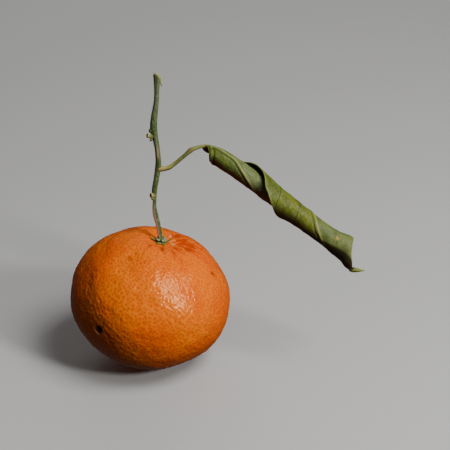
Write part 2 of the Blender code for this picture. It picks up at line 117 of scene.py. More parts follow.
PEEL_DEEP = (0.92, 0.150, 0.000, 1)
PEEL_GLAND = (0.60, 0.030, 0.000, 1)
PEEL_RED = (0.40, 0.016, 0.000, 1)
PEEL_BROWN = (0.060, 0.018, 0.004, 1)
PEEL_PALE = (0.72, 0.56, 0.36, 1)
PEEL_SHINE = (1.0, 0.64, 0.30, 1)
PEEL_ROUGHNESS = (0.20, 0.27)


def direction(azimuth, polar):
    flat = math.sin(polar)
    return Vector((flat * math.cos(azimuth), flat * math.sin(azimuth), math.cos(polar)))


def angle_between(a, b):
    return (a - b + math.pi) % math.tau - math.pi


def bell(distance, width, power=2):
    """1 at no distance, and down to 0 past the width, more sharply with a higher power."""
    return math.exp(-((distance / width) ** power))


def lean_of_fruit():
    """The fruit's own frame: z up its stem axis, x to the right."""
    z = Vector((math.tan(FRUIT_LEAN_RIGHT), math.tan(FRUIT_LEAN_BACK), 1)).normalized()
    x = Vector((0, 1, 0)).cross(z).normalized()
    turn = Matrix((x, z.cross(x), z)).transposed().to_4x4()
    return Matrix.Translation((0, 0, FRUIT_CENTRE_HEIGHT)) @ turn


def plan_furrows():
    """(azimuth, depth factor, length factor) of each furrow, deepest on the right."""
    draw = random.Random(FURROW_SEED)
    plan = []
    for i in range(FURROWS):
        azimuth = math.tau * (i + draw.uniform(-FURROW_SCATTER, FURROW_SCATTER)) / FURROWS
        depth = draw.uniform(*FURROW_DEPTHS) * (0.75 + 0.45 * math.cos(azimuth))
        plan.append((azimuth, depth, draw.uniform(*FURROW_LENGTHS)))
    return plan


def plan_wrinkles():
    """(azimuth, depth, width, start, length, drift) of each crease and wrinkle, most on the right."""
    draw = random.Random(WRINKLE_SEED)
    plan = []
    for azimuth, depth, width, start, length, drift in CREASES:
        plan.append((math.radians(azimuth), depth * MM, width * MM, start * MM, length * MM, drift))
    for _ in range(WRINKLES):
        azimuth = draw.gauss(*WRINKLE_SIDE)
        depth = draw.uniform(*WRINKLE_DEPTHS) * (0.7 + 0.3 * math.cos(azimuth))
        start = draw.uniform(*WRINKLE_STARTS)
        width = draw.uniform(*WRINKLE_WIDTHS)
        length = draw.uniform(*WRINKLE_LENGTHS)
        plan.append((azimuth, depth, width, start, length, draw.uniform(-WRINKLE_DRIFT, WRINKLE_DRIFT)))
    return plan


def gland_tree():
    """The oil glands' directions from the fruit's middle, evenly strewn and a little scattered."""
    draw = random.Random(GLAND_SEED)
    tree = kdtree.KDTree(GLANDS)
    for i in range(GLANDS):
        ray = direction(i * math.pi * (3 - math.sqrt(5)), math.acos(1 - (2 * i + 1) / GLANDS))
        ray += Vector([draw.uniform(-GLAND_SCATTER, GLAND_SCATTER) for _ in range(3)])
        tree.insert(ray.normalized(), i)
    tree.balance()
    return tree


def fruit_radius(azimuth, polar, furrows):
    """Distance from the fruit's centre to its peel, and how deep in a furrow that place is."""
    across = math.sin(polar)
    along = math.cos(polar)
    radius = 1 / math.hypot(across / FRUIT_RADIUS, along / FRUIT_HALF_HEIGHT)
    away = radius * across
    ray = direction(azimuth, polar)
    furrow = 0.0
    radius += LUMP_HEIGHT * noise.noise(ray * LUMPS_ACROSS) * min(1, away / DIMPLE_RADIUS)
    if along > 0:
        radius -= DIMPLE_DEPTH * bell(away, DIMPLE_RADIUS)
        for middle, depth, length in furrows:
            start = 1 - bell(away, FURROW_START, 4)
            end = bell(away, FURROW_END * length, 3)
            furrow += depth * start * end * bell(angle_between(azimuth, middle) * away, FURROW_WIDTH)
        radius -= FURROW_DEPTH * furrow
    for dent_azimuth, dent_polar, width, depth in DENTS:
        middle = direction(math.radians(dent_azimuth), math.radians(dent_polar))
        radius -= depth * MM * bell(ray.angle(middle, 0) * radius, width * MM)
    return radius, furrow


def wrinkle_at(azimuth, away, wrinkles):
    """Depth of the creases and wrinkles at a place near the stem."""
    total = 0.0
    for middle, depth, width, start, length, drift in wrinkles:
        aside = angle_between(azimuth, middle) * away + drift * (away - start)
        if abs(aside) < 3 * width and 0 < away - start < length:
            total += depth * bell(aside, width) * math.sin(math.pi * (away - start) / length)
    return total


def ripple_at(azimuth, away):
    """Depth of the ripples left of the dimple."""
    middle, spread_angle, distance, reach, pitch, depth = RIPPLES
    aside = angle_between(azimuth, middle) / spread_angle
    share = math.exp(-(aside**2) - ((away - distance) / reach) ** 4)
    return depth * share * (1 + math.sin(math.tau * away / pitch)) / 2


def mark_at(ray, middle, half_length, half_width, turn):
    """1 in the middle of an oval mark, 0 well outside it."""
    offset = (ray - middle) * FRUIT_RADIUS
    if offset.length > 4 * half_length:
        return 0.0
    right = middle.cross(Vector((0, 0.1, 1))).normalized()
    up = right.cross(middle)
    x = offset.dot(right) * math.cos(turn) + offset.dot(up) * math.sin(turn)
    y = offset.dot(up) * math.cos(turn) - offset.dot(right) * math.sin(turn)
    wobble = 1 + MARK_WAVES[0] * noise.noise(ray * MARK_WAVES[1])
    return bell(math.hypot(x / half_length, y / half_width) * wobble, 1, 4)


def add_piece(name, add_primitive, **sizes):
    """A new primitive, alone selected, that carries this name, as its mesh does."""
    bpy.ops.object.select_all(action="DESELECT")
    add_primitive(**sizes)
    piece = bpy.context.object
    piece.name = name
    piece.data.name = name
    return piece


def start_edit(kind="VERT", action="SELECT"):
    """Edit mode, with all or none of the mesh selected."""
    bpy.ops.object.mode_set(mode="EDIT")
    bpy.ops.mesh.select_mode(type=kind)
    bpy.ops.mesh.select_all(action=action)


def keep_values(piece, names, rows):
    """Numbers kept at each point of the mesh, one row for each point, for its material to read."""
    for name, values in zip(names, zip(*rows)):
        attribute = piece.data.attributes.new(name, "FLOAT", "POINT")
        attribute.data.foreach_set("value", values)


def grow_peel():
    peel = add_piece("peel_skin", bpy.ops.mesh.primitive_cube_add, size=2)
    start_edit()
    for cuts in PEEL_CUTS:
        bpy.ops.mesh.subdivide(number_cuts=cuts)
    bpy.ops.object.mode_set(mode="OBJECT")
    furrows, wrinkles, glands = plan_furrows(), plan_wrinkles(), gland_tree()
    draw = random.Random(GLAND_DEPTH_SEED)
    gland_depths = [draw.uniform(*GLAND_DEPTHS) for _ in range(GLANDS)]
    scar = direction(*SCAR_PLACE)
    scar_lip = (direction(*SCAR_LIP_PLACE) - scar).normalized()
    marks = []
    for azimuth, polar, half_length, half_width, turn, kind, strength in MARKS:
        middle = direction(math.radians(azimuth), math.radians(polar))
        marks.append((kind, strength, middle, half_length * MM, half_width * MM, math.radians(turn)))
    lean = lean_of_fruit()
    rows = []
    for vert in peel.data.vertices:
        ray = Vector([math.tan(x * math.pi / 4) for x in vert.co]).normalized()
        azimuth = math.atan2(ray.y, ray.x)
        polar = ray.angle(Vector((0, 0, 1)), 0)
        radius, furrow = fruit_radius(azimuth, polar, furrows)
        away = radius * math.sin(polar)
        for across, height in SMALL_LUMPS:
            radius += height * noise.noise(ray * across)
        wrinkle = 0.0
        if polar < math.pi / 2 and away < WRINKLE_LIMIT:
            wrinkle = wrinkle_at(azimuth, away, wrinkles) + ripple_at(azimuth, away)
            radius -= wrinkle
        _, number, distance = glands.find(ray)
        gland = bell(distance * FRUIT_RADIUS, GLAND_RADIUS)
        radius -= gland_depths[number] * gland
        off_scar = ray.angle(scar, 0) * FRUIT_RADIUS * (1 + SCAR_WAVES[0] * noise.noise(ray * SCAR_WAVES[1]))
        pit = bell(off_scar, SCAR_RADIUS, 4)
        rim = bell(off_scar - SCAR_RIM_RADIUS, SCAR_RIM_WIDTH)
        rim *= max(SCAR_RIM_LEAST, (ray - scar).normalized().dot(scar_lip)) ** SCAR_RIM_FADE
        radius += SCAR_RIM_HEIGHT * rim - SCAR_DEPTH * pit
        # Painted shade: the furrows and wrinkles are laid darker red by their depth, most on the right.
        creased = 0.35 * furrow + 1.2 * wrinkle / WRINKLE_DEPTHS[1]
        crease_shade = min(1, (0.50 + 0.20 * math.cos(azimuth)) * creased**2.4)
        shares = {"brown": min(1, 1.2 * pit), "pale": 0.4 * rim, "red": crease_shade}
        for kind, strength, *mark in marks:
            shares[kind] = max(shares[kind], strength * mark_at(ray, *mark))
        place = lean @ (ray * radius)
        place.z = max(place.z, 0)
        vert.co = place
        darkened = gland * (0.5 + 0.5 * gland_depths[number] / GLAND_DEPTHS[1])
        rows.append((darkened, shares["brown"], shares["pale"], shares["red"]))
    keep_values(peel, ("gland", "brown", "pale", "red"), rows)
    bpy.ops.object.shade_smooth()
    return peel


class Finish:
    """A named material, whose colours are laid one over another and whose bumps add up."""

    def __init__(self, name, roughness, specular, colour):
        self.material = bpy.data.materials.new(name)
        self.material.use_nodes = True
        self.shader = self.material.node_tree.nodes["Principled BSDF"].inputs
        self.shader["Roughness"].default_value = roughness
        self.shader["Specular IOR Level"].default_value = specular
        self.colour = colour
        self.normal = None

    def link(self, value, socket):
        self.material.node_tree.links.new(value, socket)

    def node(self, kind, inputs, **settings):
        """A shader node with its settings, and its inputs set or linked."""
        node = self.material.node_tree.nodes.new("ShaderNode" + kind)
        for name, value in settings.items():
            setattr(node, name, value)
        for socket, value in inputs.items():
            if isinstance(value, bpy.types.NodeSocket):
                self.link(value, node.inputs[socket])
            else:
                node.inputs[socket].default_value = value
        return node

    def maths(self, operation, *values):
        return self.node("Math", dict(enumerate(values)), operation=operation).outputs[0]

    def place(self, stretch=(1, 1, 1), turn=(0, 0, 0)):
        """The place on the object, stretched and turned for its patterns."""
        place = self.node("TexCoord", {}).outputs["Object"]
        return self.node("Mapping", {"Vector": place, "Scale": stretch, "Rotation": turn}).outputs[0]

    def kept(self, name, output="Fac"):
        """What the mesh keeps at each point under this name."""
        return self.node("Attribute", {}, attribute_name=name).outputs[output]

    def grain(self, place, size, detail=3.0):
        return self.node("TexNoise", {"Vector": place, "Scale": 1 / size, "Detail": detail}).outputs["Fac"]

    def spread(self, value, low, high):
        """0 to 1 as the value goes from low to high."""
        inputs = {"Value": value, "From Min": low, "From Max": high}
        return self.node("MapRange", inputs, interpolation_type="SMOOTHSTEP").outputs[0]

    def patches(self, place, size, low=0.4, high=0.6):
        """0 to 1 in soft patches about this size."""
        return self.spread(self.grain(place, size, 2.0), low, high)

    def lay(self, colour, share, strength=1):
        """Lays a colour over those before it, by a share."""
        if strength != 1:
            share = self.maths("MULTIPLY", share, strength)
        self.colour = self.node("Mix", {0: share, 6: self.colour, 7: colour}, data_type="RGBA").outputs[2]

    def bump(self, height, depth):
        """A bump of this depth, for heights from 0 to 1, on top of those before it."""
        inputs = {"Height": height, "Distance": depth, "Strength": 1.0}
        if self.normal is not None:
            inputs["Normal"] = self.normal
        self.normal = self.node("Bump", inputs).outputs[0]

    def done(self):
        """The material, with its colour and its bumps on its shader."""
        self.link(self.colour, self.shader["Base Color"])
        if self.normal is not None:
            self.link(self.normal, self.shader["Normal"])
        return self.material


def peel_finish():
    finish = Finish("waxy_peel", 0.24, 0.5, PEEL_LIGHT)
    finish.shader["Specular Tint"].default_value = PEEL_SHINE
    finish.shader["Subsurface Weight"].default_value = 0.06
    finish.shader["Subsurface Radius"].default_value = (1.0, 0.35, 0.08)
    finish.shader["Subsurface Scale"].default_value = 1.2 * MM
    place = finish.place()
    finish.lay(PEEL_DEEP, finish.patches(place, 16 * MM, 0.35, 0.65))
    finish.lay(PEEL_DEEP, finish.patches(place, 1.3 * MM, 0.45, 0.62), 0.5)
    finish.lay(PEEL_GLAND, finish.kept("gland"), 0.75)
    # The red marks of the peel's own, and painted shade in the furrows and wrinkles.
    finish.lay(PEEL_RED, finish.kept("red"), 0.75)
    finish.lay(PEEL_BROWN, finish.kept("brown"))
    finish.lay(PEEL_PALE, finish.kept("pale"))
    cells = {"Vector": place, "Scale": 1 / (0.75 * MM), "Smoothness": 0.6}
    finish.bump(finish.node("TexVoronoi", cells, feature="SMOOTH_F1").outputs["Distance"], -0.05 * MM)
    finish.bump(finish.grain(place, 0.3 * MM), 0.018 * MM)
    smooth, dull = PEEL_ROUGHNESS
    dulling = {"Value": finish.patches(place, 5 * MM), "To Min": smooth, "To Max": dull}
    finish.link(finish.node("MapRange", dulling).outputs[0], finish.shader["Roughness"])
    return finish.done()


peel = grow_peel()
peel.data.materials.append(peel_finish())
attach(peel, "root")
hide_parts("fruit")

# The calyx: the grey-green button that the fruit hung from, a small leathery disc with five pointed
# sepals that have dried and curled up a little. It grows on the bottom of the fruit's dimple.
CALYX_RADIUS = 1.9 * MM
CALYX_THICKNESS = 0.6 * MM
CALYX_LIFT = 0.05 * MM
CALYX_EDGE_ROUNDING = 0.4
# How far the disc's ribs and its grain stand up, in millimetres.
CALYX_ROUGHNESS = (0.16, 0.08)
# Each sepal's middle in degrees, length past the disc, half angle, and how far its tip curls up.
SEPALS = (
    (8, 2.3 * MM, 20, 2.3 * MM),
    (66, 1.5 * MM, 16, 1.7 * MM),
    (179, 2.5 * MM, 19, 1.5 * MM),
    (-116, 1.2 * MM, 30, 0.15 * MM),
    (-62, 1.3 * MM, 28, 0.30 * MM),
)
SEPAL_POINTEDNESS = 1.2
SEPAL_THINNING = 0.5
SEPAL_CURL_POWER = 1.5
SEPAL_LEAST = 0.2 * MM
PEEL_TRIES = 6
# The torn rim of the button, which stands up round the twig's foot and is split at the front.
RIM_RADIUS = 2.05 * MM
RIM_HALF_HEIGHT = 0.42 * MM
RIM_LIFT = 1.25 * MM
RIM_SPLIT = (math.radians(-98), 0.17)
CALYX_GREEN = (0.085, 0.140, 0.022, 1)
CALYX_GREY = (0.20, 0.24, 0.10, 1)
CALYX_TIP = (0.20, 0.30, 0.06, 1)
CALYX_DARK_AND_SHADE = (0.045, 0.045, 0.012, 1)
CALYX_DRY = (0.50, 0.50, 0.32, 1)
# The last value, root, is painted shade: dark on the undersides and low in the rim.
CALYX_VALUES = ("tip", "dry", "root")


def peel_height(away, azimuth, furrows):
    """Height of the peel in the fruit's frame, at a distance from the stem axis."""
    height = FRUIT_HALF_HEIGHT - DIMPLE_DEPTH
    for _ in range(PEEL_TRIES):
        polar = math.atan2(away, height)
        height = fruit_radius(azimuth, polar, furrows)[0] * math.cos(polar)
    return height


def sepals_at(azimuth):
    """How far the sepals reach past the disc this way, and how far they curl up."""
    reach = 0.0
    curl = 0.0
    for middle, length, half_angle, lift in SEPALS:
        aside = abs(math.degrees(angle_between(azimuth, math.radians(middle))))
        part = max(0.0, 1 - aside / half_angle) ** SEPAL_POINTEDNESS
        reach += length * part
        curl += lift * part
    return reach, curl


def grow_star(lean, furrows):
    """The disc with its five sepals."""
    star = add_piece(
        "calyx_star", bpy.ops.mesh.primitive_uv_sphere_add, segments=180, ring_count=44, radius=1
    )
    rows = []
    for vert in star.data.vertices:
        azimuth = math.atan2(vert.co.y, vert.co.x)
        reach, curl = sepals_at(azimuth)
        share = math.hypot(vert.co.x, vert.co.y)
        away = share * (CALYX_RADIUS + reach)
        past = max(0.0, away - CALYX_RADIUS) / max(reach, 0.3 * MM)
        thickness = CALYX_THICKNESS * (1 - SEPAL_THINNING * past) * (1 - 0.35 * share**3)
        side = math.copysign(abs(vert.co.z) ** CALYX_EDGE_ROUNDING, vert.co.z)
        lift = CALYX_LIFT + curl * past**SEPAL_CURL_POWER + thickness * (1 + side) / 2
        ribs = noise.noise(Vector((math.cos(azimuth) * 5, math.sin(azimuth) * 5, share * 1.2)))
        rough = noise.noise(vert.co * 9)
        lift += (CALYX_ROUGHNESS[0] * ribs + CALYX_ROUGHNESS[1] * rough) * MM * max(0, side)
        height = peel_height(away, azimuth, furrows) + lift
        vert.co = lean @ Vector((away * math.cos(azimuth), away * math.sin(azimuth), height))
        # The third value is painted shade on the underside, fading towards the sepal tips.
        rows.append((past if reach > SEPAL_LEAST else 0.0, 0.0, max(0.0, -side) * (1 - past)))
    keep_values(star, CALYX_VALUES, rows)
    bpy.ops.object.shade_smooth()
    return star


def grow_rim(lean, furrows):
    """The torn rim round the twig's foot, pale and dry along its upper edge, with painted shade low down and
    in its split.
    """
    rim = add_piece("calyx_rim", bpy.ops.mesh.primitive_uv_sphere_add, segments=128, ring_count=40, radius=1)
    base = peel_height(0, 0, furrows) + RIM_LIFT
    rows = []
    for vert in rim.data.vertices:
        azimuth = math.atan2(vert.co.y, vert.co.x)
        share = math.hypot(vert.co.x, vert.co.y)
        around = Vector((math.cos(azimuth), math.sin(azimuth), 0))
        split = bell(angle_between(azimuth, RIM_SPLIT[0]), RIM_SPLIT[1])
        torn = noise.noise(around * 2.3 + Vector((0, 0, 2))) + 0.5 * noise.noise(around * 6)
        away = share * RIM_RADIUS * (1 + 0.28 * torn) * (1 - 0.42 * split)
        rough = noise.noise(vert.co * 5 + Vector((3, 0, 0)))
        lift = RIM_HALF_HEIGHT * vert.co.z * (1 + 0.5 * rough) + (0.35 * share**2 * (1 + torn) - 0.2) * MM
        vert.co = lean @ (around * away + Vector((0, 0, base + lift)))
        dry = max(0.0, min(1, 0.35 + 0.9 * rough + 0.8 * torn)) * (1 if lift > 0 else 0.3)
        # The third value is painted shade on the rim's lower band and in its split.
        rows.append((0.0, dry, 1.0 if lift < -0.1 * MM else 0.7 * split))
    keep_values(rim, CALYX_VALUES, rows)
    bpy.ops.object.shade_smooth()
    return rim


def select_only(piece, *others):
    bpy.ops.object.select_all(action="DESELECT")
    for chosen in (piece, *others):
        chosen.select_set(True)
    bpy.context.view_layer.objects.active = piece


def join_pieces(piece, other):
    """Makes the other piece part of this one's mesh."""
    select_only(piece, other)
    bpy.ops.object.join()


def grow_calyx():
    lean = lean_of_fruit()
    furrows = plan_furrows()
    calyx = grow_star(lean, furrows)
    join_pieces(calyx, grow_rim(lean, furrows))
    return calyx


def calyx_finish():
    finish = Finish("calyx_skin", 0.62, 0.35, CALYX_GREEN)
    place = finish.place()
    finish.lay(CALYX_GREY, finish.patches(place, 0.9 * MM, 0.45, 0.62))
    finish.lay(CALYX_TIP, finish.kept("tip"), 0.8)
    finish.lay(CALYX_DRY, finish.kept("dry"))
    # Dark specks of the calyx's own, in the same colour as its painted shade.
    finish.lay(CALYX_DARK_AND_SHADE, finish.patches(place, 0.45 * MM, 0.56, 0.68), 0.7)
    # Painted shade on the undersides and low in the rim.
    finish.lay(CALYX_DARK_AND_SHADE, finish.kept("root"))
    finish.bump(finish.grain(place, 0.25 * MM, 4.0), 0.12 * MM)
    return finish.done()


calyx = grow_calyx()
calyx.data.materials.append(calyx_finish())
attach(calyx, "root")
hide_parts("calyx")

# The twig: a green woody shoot that grows out of the calyx and ends where it was cut, at a slant. Its
# bark has fine ridges and grey specks, and two dry rings on its left are where side shoots broke off.


def in_mm(*sizes):
    """Sizes in metres that are written in millimetres."""
    return [size * MM for size in sizes]


TWIG_LEAN_BACK = math.radians(12)
# Sideways place, height along the twig, radius.
TWIG = [in_mm(*station) for station in (
    (0.0, 0.0, 1.15), (-0.5, 1.8, 0.84), (-1.2, 5.7, 0.88), (-2.1, 9.5, 0.92), (-2.4, 12.5, 0.70),
    (-2.3, 14.7, 0.66), (-2.3, 18.5, 0.99), (-1.6, 22.6, 0.98), (-0.8, 28.2, 1.05), (-0.9, 31.5, 0.94),
    (-1.2, 34.5, 0.96), (-2.0, 39.0, 1.22), (-2.3, 41.8, 1.30), (-1.9, 46.2, 1.15), (-1.3, 50.0, 0.97),
    (-1.0, 53.6, 0.92), (-0.9, 57.0, 1.02), (-0.75, 58.8, 1.28), (-0.65, 60.4, 1.48), (-0.75, 62.4, 1.50),
)]
TWIG_FOOT_LIFT = 1.4 * MM
TWIG_RINGS = 320
TWIG_SIDES = 40
RIDGE_HEIGHT = 0.10 * MM
# The cut's three planes: a place across and up the twig in millimetres, and the slant in degrees.
TWIG_CUTS = ((-1.35, 61.35, -30), (-1.35, 61.35, 35), (-0.10, 60.45, 54))
# At the cut: how thick the bark is and how deep the pith sinks, in millimetres.
CUT_BARK = 0.30
CUT_PITH_DEPTH = 0.22
# A shred of bark that hangs from the twig under the cut's lip: across, up, half width, half length.
BARK_SHRED = in_mm(0.60, 57.8, 0.30, 1.25)
BARK_SHRED_SLOPE = 0.18
# Branch scars: height along the twig, reach from its axis and radius in millimetres, lift and turn
# forward in degrees.
BRANCH_SCARS = ((38.1, 3.10, 0.85, 18, 28), (16.6, 1.5, 0.95, 5, 35))
# A stub's rim: how wide it is, how far it stands out and how deep its hollow is, in millimetres.
STUB_RIM_WIDTH = 0.18
STUB_RIM_RISE = 0.16
STUB_HOLLOW_DEPTH = 0.8
# Small buds and ledges of bark: the same, but all with one lift. Two of them have a dry ring.
BUDS = (
    (36.6, 2.35, 0.52, 35), (37.6, 1.90, 0.45, 35), (15.1, 1.05, 0.62, 40), (38.2, 1.60, 0.75, 35),
    (40.2, 1.45, 0.85, 15), (27.0, 0.85, 0.85, 160),
)
BUD_LIFT = 20
DRY_BUDS = (0, 2)
BARK_GREEN = (0.030, 0.058, 0.007, 1)
BARK_OLIVE = (0.085, 0.105, 0.016, 1)
BARK_GREY = (0.150, 0.180, 0.090, 1)
BARK_SPECK = (0.30, 0.34, 0.21, 1)
BARK_FRESH = (0.055, 0.120, 0.006, 1)
BARK_TAN = (0.74, 0.42, 0.29, 1)
DRY_RING = (0.46, 0.42, 0.12, 1)
DRY_HOLLOW = (0.06, 0.016, 0.008, 1)
BARK_STRETCH = (1, 1, 0.16)
BARK_SMOOTH_ANGLE = math.radians(50)


def smooth_value(points, at):
    """The value at a place on a smooth line through (place, value) points, level past its ends."""
    if at <= points[0][0]:
        return points[0][1]
    if at >= points[-1][0]:
        return points[-1][1]
    after = next(i for i, point in enumerate(points) if point[0] > at)
    slopes = []
    for i in (after - 1, after):
        low = points[max(i - 1, 0)]
        high = points[min(i + 1, len(points) - 1)]
        slopes.append((high[1] - low[1]) / (high[0] - low[0]))
    (x0, y0), (x1, y1) = points[after - 1], points[after]
    span = x1 - x0
    t = (at - x0) / span
    hermite = (2 * t**3 - 3 * t**2 + 1) * y0 + (t**3 - 2 * t**2 + t) * span * slopes[0]
    return hermite + (3 * t**2 - 2 * t**3) * y1 + (t**3 - t**2) * span * slopes[1]


def leaning_frame(base, lean_back):
    """A frame at the base whose x runs right and whose y runs up a plane that leans back."""
    up = Vector((0, math.sin(lean_back), math.cos(lean_back)))
    right = Vector((1, 0, 0))
    turn = Matrix((right, up, right.cross(up))).transposed().to_4x4()
    return Matrix.Translation(base) @ turn


def route_through(stations, count):
    """(across, up, radius) at even steps on a smooth line through the stations."""
    lengths = [0.0]
    for low, high in zip(stations, stations[1:]):
        lengths.append(lengths[-1] + math.dist(low[:2], high[:2]))
    lines = [[(s, station[k]) for s, station in zip(lengths, stations)] for k in range(3)]
    return [[smooth_value(line, lengths[-1] * i / count) for line in lines] for i in range(count + 1)]


def close_ends():
    """Merges the seam, fills the two open ends and turns every face outward."""
    start_edit()
    bpy.ops.mesh.remove_doubles(threshold=0.001 * MM)
    bpy.ops.mesh.select_all(action="DESELECT")
    bpy.ops.mesh.select_non_manifold()
    bpy.ops.mesh.fill_holes(sides=0)
    bpy.ops.mesh.select_all(action="SELECT")
    bpy.ops.mesh.normals_make_consistent(inside=False)
    bpy.ops.object.mode_set(mode="OBJECT")
    bpy.ops.object.shade_smooth()


def add_sheet(name, rows, columns):
    return add_piece(
        name, bpy.ops.mesh.primitive_grid_add, x_subdivisions=rows, y_subdivisions=columns, size=2
    )


def roll_stem(name, plane, stations, rings, sides, relief):
    """A flat grid rolled round a route in a plane: relief(length, turn) is added to its radius."""
    route = route_through(stations, rings)
    stem = add_sheet(name, rings, sides)
    places = [Vector((across, up, 0)) for across, up, _ in route]
    for vert in stem.data.vertices:
        ring = round((vert.co.x + 1) / 2 * rings)
        turn = math.pi * (vert.co.y + 1)
        ahead = (places[min(ring + 1, rings)] - places[max(ring - 1, 0)]).normalized()
        aside = ahead.cross(Vector((0, 0, 1)))
        radius = route[ring][2] + relief(route[ring][1], turn)
        around = aside * math.cos(turn) + Vector((0, 0, 1)) * math.sin(turn)
        vert.co = plane @ (places[ring] + around * radius)
    close_ends()
    return stem


def bark_relief(height, turn):
    """Fine ridges that run up the twig, and small knobs."""
    round_place = Vector((math.cos(turn), math.sin(turn), 0))
    ridges = noise.noise(round_place * 2.4 + Vector((0, 0, height / (11 * MM))))
    fine = noise.noise(round_place * 6.0 + Vector((0, 0, height / (5 * MM))))
    knobs = noise.noise(round_place * 3.0 + Vector((0, 0, height / (0.9 * MM))))
    return RIDGE_HEIGHT * (ridges + 0.45 * fine + 0.35 * knobs)


def across_at(height):
    return smooth_value([(up, across) for across, up, _ in TWIG], height)


def twig_foot():
    """World place of the twig's foot, on top of the calyx."""
    return lean_of_fruit() @ Vector((0, 0, peel_height(0, 0, plan_furrows()) + TWIG_FOOT_LIFT))


def aim_from_twig(plane, height, lift, forward):
    """The twig's middle at a height, and a direction out of its left side, lifted and turned forward."""
    lift, forward = math.radians(lift), math.radians(forward)
    level = math.cos(lift)
    out = Vector((-level * math.cos(forward), math.sin(lift), level * math.sin(forward)))
    return plane @ Vector((across_at(height), height, 0)), plane.to_3x3() @ out


def join_solid(piece, other):
    """Makes the other piece part of this one, without the faces inside."""
    modifier = piece.modifiers.new(other.name, "BOOLEAN")
    modifier.object = other
    modifier.operation = "UNION"
    modifier.solver = "EXACT"
    bpy.context.view_layer.objects.active = piece
    bpy.ops.object.modifier_apply(modifier=modifier.name)
    bpy.data.objects.remove(other, do_unlink=True)


def edit_faces(piece, wanted):
    """Edit mode, with only the faces selected that are wanted."""
    start_edit("FACE", "DESELECT")
    bpy.ops.object.mode_set(mode="OBJECT")
    for face in piece.data.polygons:
        face.select = wanted(face)
    bpy.ops.object.mode_set(mode="EDIT")


def grow_scar(twig, plane, height, reach, radius, lift, forward):
    """Adds the stub of a broken side shoot, hollow at its end; that end, its direction, its radius."""
    height, reach, radius = in_mm(height, reach, radius)
    start, out = aim_from_twig(plane, height, lift, forward)
    end = start + out * reach
    axis = end - start
    stub = add_piece(
        "branch_stub", bpy.ops.mesh.primitive_cylinder_add, vertices=24, radius=radius, depth=axis.length,
        location=(start + end) / 2, rotation=axis.to_track_quat("Z", "Y").to_euler(),
    )
    bpy.ops.object.transform_apply(location=True, rotation=True, scale=True)
    edit_faces(stub, lambda face: (face.center - end).length < 0.05 * MM)
    bpy.ops.mesh.inset(thickness=STUB_RIM_WIDTH * MM)
    bpy.ops.transform.translate(value=axis.normalized() * STUB_RIM_RISE * MM)
    bpy.ops.mesh.inset(thickness=0.5 * radius - STUB_RIM_WIDTH * MM)
    sink = axis.normalized() * -STUB_HOLLOW_DEPTH * MM
    bpy.ops.mesh.extrude_region_move(TRANSFORM_OT_translate={"value": sink})
    bpy.ops.object.mode_set(mode="OBJECT")
    join_solid(twig, stub)
    return end, out, radius


def grow_bud(twig, plane, height, reach, radius, forward):
    """Adds a bud; its tip and its radius."""
    height, reach, radius = in_mm(height, reach, radius)
    middle, out = aim_from_twig(plane, height, BUD_LIFT, forward)
    bud = add_piece(
        "bark_bud", bpy.ops.mesh.primitive_uv_sphere_add, segments=20, ring_count=12, radius=radius,
        location=middle + out * (reach - 0.3 * radius),
    )
    bpy.ops.object.transform_apply(location=True, rotation=True, scale=True)
    join_solid(twig, bud)
    return middle + out * reach, radius


def cut_end(twig, plane):
    """Cuts the twig's end and sinks the pith inside the bark; each cut's place and direction."""
    cuts = []
    for across, up, slant in TWIG_CUTS:
        slope = Vector((math.sin(math.radians(slant)), math.cos(math.radians(slant)), 0))
        cuts.append((plane @ Vector((across * MM, up * MM, 0)), plane.to_3x3() @ slope))
    select_only(twig)
    start_edit("FACE")
    for top, slope in cuts:
        bpy.ops.mesh.select_all(action="SELECT")
        bpy.ops.mesh.bisect(plane_co=top, plane_no=slope, use_fill=True, clear_outer=True)

    def on_cut(face):
        return any(
            abs((face.center - top).dot(slope)) < 0.01 * MM and face.normal.dot(slope) > 0.999
            for top, slope in cuts
        )

    edit_faces(twig, on_cut)
    bpy.ops.mesh.inset(thickness=CUT_BARK * MM)
    bpy.ops.transform.translate(value=cuts[1][1] * -CUT_PITH_DEPTH * MM)
    bpy.ops.object.mode_set(mode="OBJECT")
    return cuts


def hang_shred(twig, plane):
    """Adds the shred of bark, whose upper end is inside the twig."""
    across, up, half_width, half_length = BARK_SHRED
    shred = add_piece(
        "bark_shred", bpy.ops.mesh.primitive_uv_sphere_add, segments=20, ring_count=12, radius=1
    )
    for vert in shred.data.vertices:
        bend = -BARK_SHRED_SLOPE * half_length * vert.co.y
        shape = Vector((vert.co.x * half_width + bend, vert.co.y * half_length, vert.co.z * half_width))
        vert.co = plane @ (Vector((across, up, 0)) + shape)
    join_pieces(twig, shred)


def bark_values(place, local, scars, dry_buds, cuts):
    """How much a point is dry ring, dry hollow, tan strip, grey and fresh green."""
    ring = 0.0
    hollow = 0.0
    for end, out, radius in scars:
        offset = place - end
        depth = offset.dot(out)
        away = (offset - out * depth).length
        if away < 1.3 * radius and depth > -1.0 * MM:
            ring = max(ring, bell(min(0, depth + 0.15 * MM), 0.35 * MM))
            if away < 0.62 * radius and depth < 0:
                hollow = 1.0
    for tip, radius in dry_buds:
        ring = max(ring, 0.55 * bell((place - tip).length, 0.9 * radius))
    if local.y > 57 * MM:
        cut = max((place - top).dot(slope) for top, slope in cuts)
        ring = max(ring, bell(min(0, cut + 0.08 * MM), 0.22 * MM))
        ring = max(ring, 0.7 * bell(local.x - 0.75 * MM, 0.4 * MM))
    left = (across_at(local.y) - local.x) / MM
    strip = bell(local.y - 6.5 * MM, 6.5 * MM, 4)
    streak = bell(local.y - 33 * MM, 2.6 * MM) * bell(left + 0.1, 0.35)
    tan = min(1, strip * max(0, min(1, (left + 0.1) / 0.4)) + 0.5 * streak)
    grey = min(1, max(0, (local.y - 42 * MM) / (8 * MM)))
    return ring, hollow, tan, grey, min(1, max(0, 0.1 - 1.2 * left))


